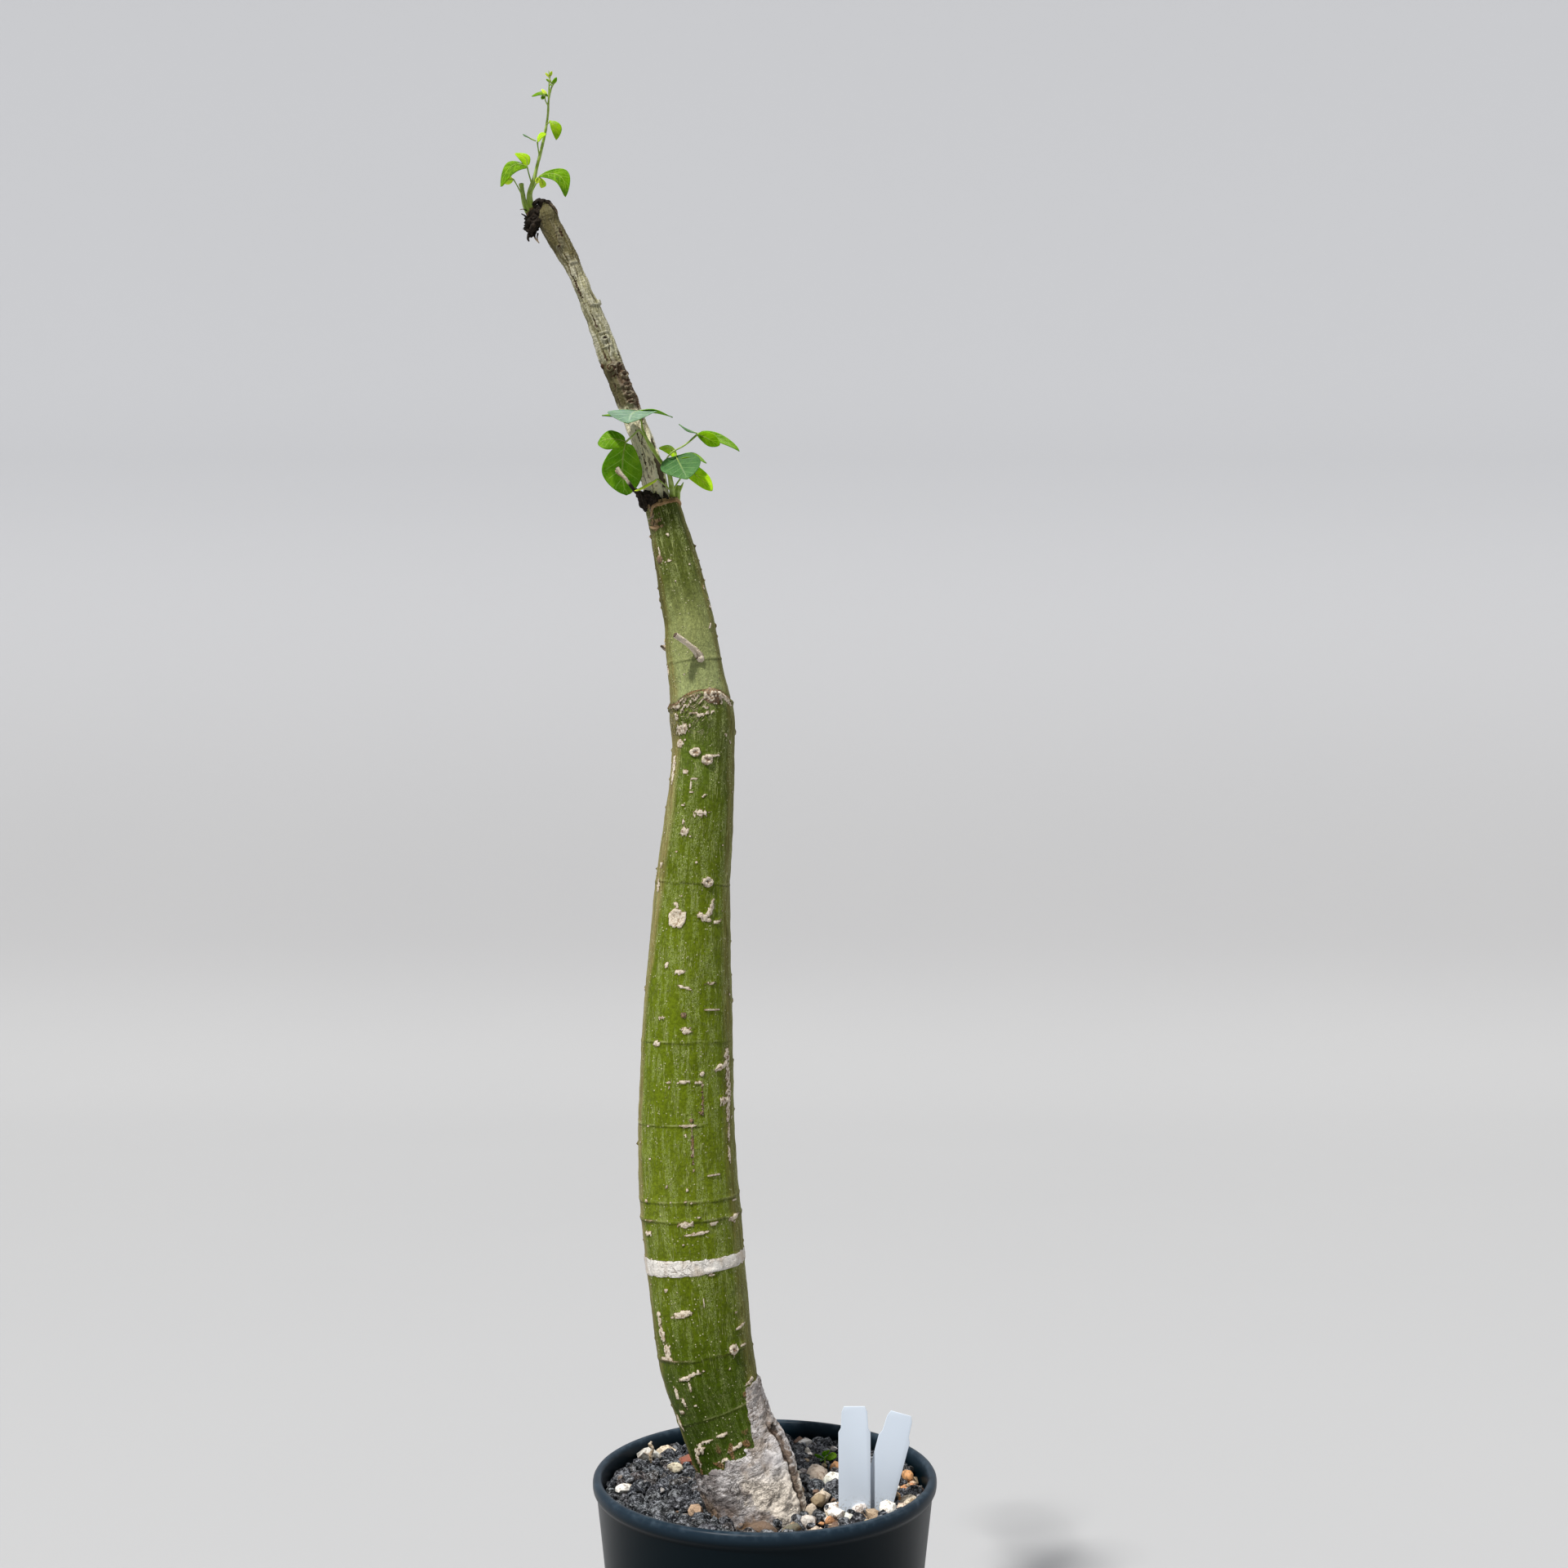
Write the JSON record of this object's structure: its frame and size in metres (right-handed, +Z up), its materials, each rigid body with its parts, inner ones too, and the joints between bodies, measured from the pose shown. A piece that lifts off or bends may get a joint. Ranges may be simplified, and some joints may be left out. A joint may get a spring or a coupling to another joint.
{
  "type": "potted adenia",
  "caption": "Caudiciform plant with a bent green trunk, a thin leafy branch and plain labels, in a round tapered pot of lava grit.",
  "frame": {"origin": "middle of the pot's flat underside", "axes": "+Z up, -Y to the front that the picture shows, +X to the right"},
  "size_m": [0.2286, 0.18, 0.8917],
  "materials": {
    "pot": "satin dark plastic",
    "substrate": "porous lava grit with pale pebbles",
    "trunk": "living green bark with corky scars",
    "shoot": "soft green stem",
    "young_leaf": "thin young leaf",
    "leaf": "thin leaf with a faint bloom",
    "label": "white plastic"
  },
  "bodies": {
    "root": {"pot": "pot", "substrate": "substrate", "trunk": "trunk", "top_shoot": "shoot", "side_shoot": "shoot", "top_leaf_a": "young_leaf", "top_leaf_b": "young_leaf", "top_leaf_c": "young_leaf", "top_leaf_d": "young_leaf", "top_leaf_e": "young_leaf", "top_leaf_k": "young_leaf", "side_leaf_f": "leaf", "side_leaf_g": "leaf", "side_leaf_h": "leaf", "side_leaf_i": "leaf", "side_leaf_j": "leaf", "label_upright": "label", "label_leaning": "label"}
  },
  "joints": []
}
